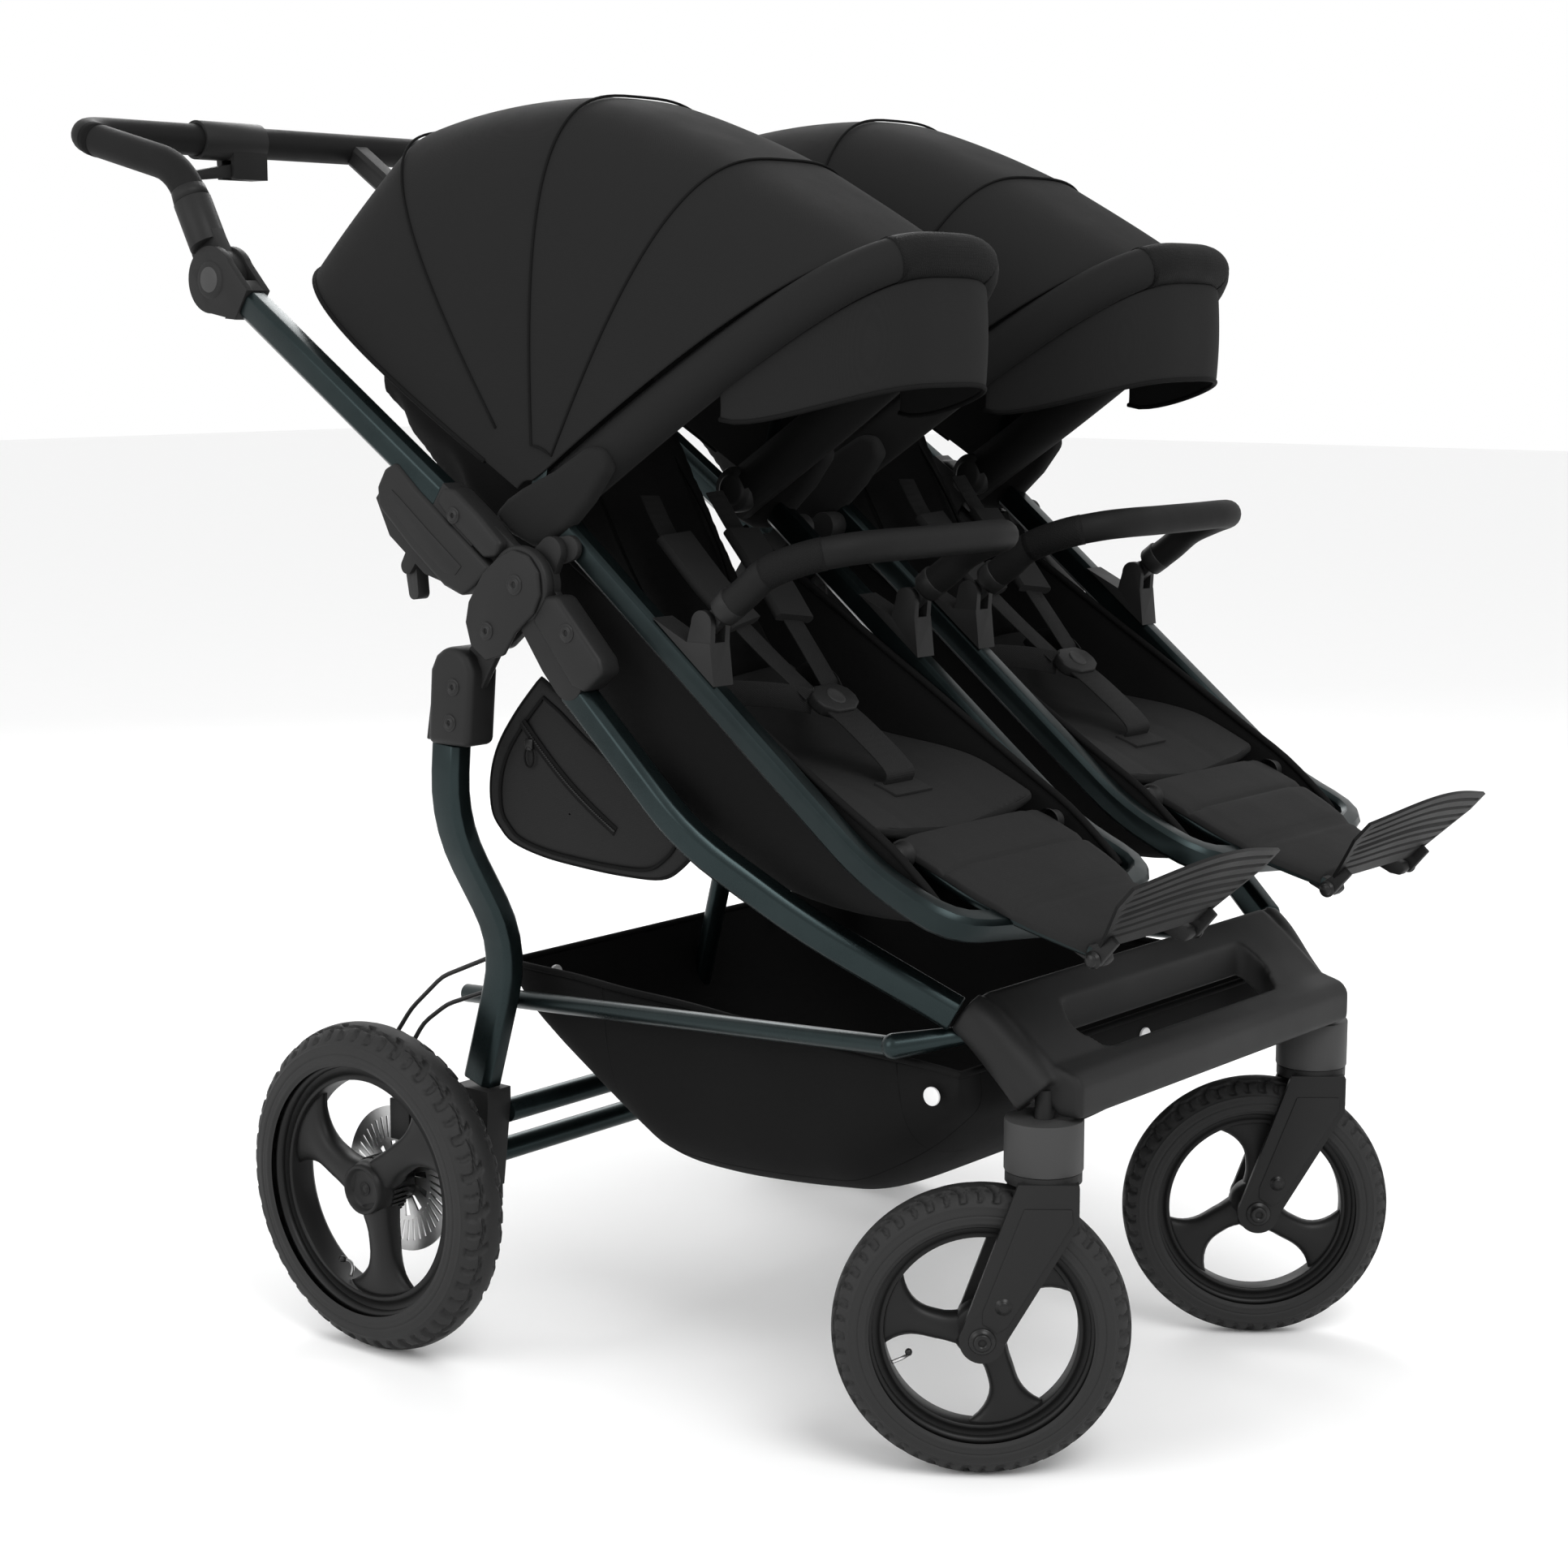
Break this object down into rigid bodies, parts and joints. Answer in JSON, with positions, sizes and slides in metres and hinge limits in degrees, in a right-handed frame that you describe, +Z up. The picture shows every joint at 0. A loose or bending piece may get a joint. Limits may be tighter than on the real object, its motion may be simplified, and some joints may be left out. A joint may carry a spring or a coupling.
{
  "type": "side-by-side two-seat stroller",
  "caption": "Folding side-by-side two-seat stroller with swivelling front wheels, hooded reclining seats, footplates, a tilting brake handle and a basket.",
  "frame": {"origin": "bottom centre of the bounding box, on the floor", "axes": "+X runs forward, +Y to the child's left, +Z up from the floor"},
  "size_m": [1.2212, 0.781, 1.1571],
  "materials": {
    "frame_tube": "satin dark green anodised",
    "dark_plastic": "fine texture",
    "grey_plastic": "fine texture",
    "steel": "brushed",
    "black_fabric": "woven",
    "webbing": "ribbed webbing",
    "foam": "soft foam",
    "rubber_tyre": "moulded tread",
    "white_snap": "smooth",
    "rim_plastic": "satin",
    "cable": "sleeved"
  },
  "bodies": {
    "chassis": {"front_beam": "dark_plastic", "side_tubes": "frame_tube", "side_hubs": "dark_plastic", "centre_hub": "dark_plastic", "hub_pins": "steel", "basket_rails": "frame_tube", "basket": "black_fabric", "basket_snaps": "white_snap", "castor_collars": "grey_plastic", "side_bag": "black_fabric", "seat_mounts": "dark_plastic", "seat_rails": "frame_tube", "seat_shell_right": "black_fabric", "seat_shell_left": "black_fabric", "seat_pads": "black_fabric", "harnesses": "webbing", "buckles": "dark_plastic", "bumper_sockets": "dark_plastic", "hood_right": "black_fabric", "hood_left": "black_fabric"},
    "push_frame": {"push_tubes": "frame_tube", "push_sockets": "dark_plastic", "centre_strut": "frame_tube"},
    "fold_levers": {"fold_levers": "dark_plastic"},
    "handle": {"handlebar": "foam", "handle_sleeves": "dark_plastic", "strut_top": "frame_tube", "brake_housing": "dark_plastic"},
    "tilt_button_right": {"tilt_button_right": "grey_plastic"},
    "tilt_button_left": {"tilt_button_left": "grey_plastic"},
    "brake_lever": {"brake_lever": "dark_plastic"},
    "rear_frame": {"rear_legs": "frame_tube", "leg_caps": "dark_plastic", "rear_feet": "dark_plastic", "rear_cross_tubes": "frame_tube", "centre_post": "frame_tube", "calipers": "dark_plastic", "brake_cables": "cable"},
    "rear_wheel_right": {"rear_tyre_right": "rubber_tyre", "rear_rim_right": "rim_plastic", "brake_disc_right": "steel"},
    "castor_right": {"fork_right": "dark_plastic"},
    "front_wheel_right": {"front_tyre_right": "rubber_tyre", "front_rim_right": "rim_plastic"},
    "backrest_right": {"backrest_right": "black_fabric"},
    "canopy_right": {"canopy_front_right": "black_fabric"},
    "bumper_bar_right": {"bumper_bar_right": "foam"},
    "legrest_right": {"legrest_right": "black_fabric"},
    "footplate_right": {"footplate_right": "dark_plastic"},
    "rear_wheel_left": {"rear_tyre_left": "rubber_tyre", "rear_rim_left": "rim_plastic", "brake_disc_left": "steel"},
    "castor_left": {"fork_left": "dark_plastic"},
    "front_wheel_left": {"front_tyre_left": "rubber_tyre", "front_rim_left": "rim_plastic"},
    "backrest_left": {"backrest_left": "black_fabric"},
    "canopy_left": {"canopy_front_left": "black_fabric"},
    "bumper_bar_left": {"bumper_bar_left": "foam"},
    "legrest_left": {"legrest_left": "black_fabric"},
    "footplate_left": {"footplate_left": "dark_plastic"}
  },
  "joints": [
    {"name": "push_fold", "type": "hinge", "parent": "chassis", "child": "push_frame", "pos_m": [0.01374, 0, 0.729], "axis": [0, 1, 0], "range_deg": [0, 158]},
    {"name": "fold_lever_press", "type": "hinge", "parent": "push_frame", "child": "fold_levers", "pos_m": [-0.12211, 0, 0.73861], "axis": [0, -1, 0], "range_deg": [0, 12], "stiffness_Nm_per_rad": 0.4},
    {"name": "handle_tilt", "type": "hinge", "parent": "push_frame", "child": "handle", "pos_m": [-0.37508, 0, 0.99126], "axis": [0, 1, 0], "range_deg": [-45, 40]},
    {"name": "tilt_button_right_press", "type": "slide", "parent": "push_frame", "child": "tilt_button_right", "axis": [0, 1, 0], "range_m": [0, 0.002], "stiffness_N_per_m": 900},
    {"name": "tilt_button_left_press", "type": "slide", "parent": "push_frame", "child": "tilt_button_left", "axis": [0, -1, 0], "range_m": [0, 0.002], "stiffness_N_per_m": 900},
    {"name": "brake_squeeze", "type": "hinge", "parent": "handle", "child": "brake_lever", "pos_m": [-0.59108, -0.16, 1.10726], "axis": [-1, 0, 0], "range_deg": [0, 9], "stiffness_Nm_per_rad": 1.2},
    {"name": "rear_fold", "type": "hinge", "parent": "chassis", "child": "rear_frame", "pos_m": [-0.02226, 0, 0.69], "axis": [0, 1, 0], "range_deg": [-27, 0], "deforming": ["basket"]},
    {"name": "rear_spin_right", "type": "hinge", "parent": "rear_frame", "child": "rear_wheel_right", "pos_m": [-0.19126, -0.3635, 0.1555], "axis": [0, 1, 0], "continuous": true},
    {"name": "castor_swivel_right", "type": "hinge", "parent": "chassis", "child": "castor_right", "pos_m": [0.46274, -0.224, 0.262], "axis": [0, 0, 1], "continuous": true},
    {"name": "front_spin_right", "type": "hinge", "parent": "castor_right", "child": "front_wheel_right", "pos_m": [0.42281, -0.25409, 0.125], "axis": [-0.6018, 0.7986, 0], "continuous": true},
    {"name": "recline_right", "type": "hinge", "parent": "chassis", "child": "backrest_right", "pos_m": [0.05874, -0.189, 0.625], "axis": [0, -1, 0], "range_deg": [0, 30], "deforming": ["hood_right"]},
    {"name": "canopy_fold_right", "type": "hinge", "parent": "chassis", "child": "canopy_right", "pos_m": [0.00674, -0.189, 0.798], "axis": [0, -1, 0], "range_deg": [0, 70], "deforming": ["hood_right"]},
    {"name": "bumper_swing_right", "type": "hinge", "parent": "chassis", "child": "bumper_bar_right", "pos_m": [0.19474, -0.189, 0.705], "axis": [0, -1, 0], "range_deg": [-15, 40]},
    {"name": "legrest_lift_right", "type": "hinge", "parent": "chassis", "child": "legrest_right", "pos_m": [0.36874, -0.189, 0.524], "axis": [0, -1, 0], "range_deg": [0, 25]},
    {"name": "footplate_turn_right", "type": "hinge", "parent": "legrest_right", "child": "footplate_right", "pos_m": [0.53474, -0.189, 0.455], "axis": [0, -1, 0], "range_deg": [-50, 60]},
    {"name": "rear_spin_left", "type": "hinge", "parent": "rear_frame", "child": "rear_wheel_left", "pos_m": [-0.19126, 0.3635, 0.1555], "axis": [0, 1, 0], "continuous": true},
    {"name": "castor_swivel_left", "type": "hinge", "parent": "chassis", "child": "castor_left", "pos_m": [0.46274, 0.224, 0.262], "axis": [0, 0, 1], "continuous": true},
    {"name": "front_spin_left", "type": "hinge", "parent": "castor_left", "child": "front_wheel_left", "pos_m": [0.42281, 0.19391, 0.125], "axis": [-0.6018, 0.7986, 0], "continuous": true},
    {"name": "recline_left", "type": "hinge", "parent": "chassis", "child": "backrest_left", "pos_m": [0.05874, 0.189, 0.625], "axis": [0, -1, 0], "range_deg": [0, 30], "deforming": ["hood_left"]},
    {"name": "canopy_fold_left", "type": "hinge", "parent": "chassis", "child": "canopy_left", "pos_m": [0.00674, 0.189, 0.798], "axis": [0, -1, 0], "range_deg": [0, 70], "deforming": ["hood_left"]},
    {"name": "bumper_swing_left", "type": "hinge", "parent": "chassis", "child": "bumper_bar_left", "pos_m": [0.19474, 0.189, 0.705], "axis": [0, -1, 0], "range_deg": [-15, 40]},
    {"name": "legrest_lift_left", "type": "hinge", "parent": "chassis", "child": "legrest_left", "pos_m": [0.36874, 0.189, 0.524], "axis": [0, -1, 0], "range_deg": [0, 25]},
    {"name": "footplate_turn_left", "type": "hinge", "parent": "legrest_left", "child": "footplate_left", "pos_m": [0.53474, 0.189, 0.455], "axis": [0, -1, 0], "range_deg": [-50, 60]}
  ],
  "couplings": [
    {"joint": "rear_fold", "follows": "push_fold", "ratio": -0.17089}
  ]
}
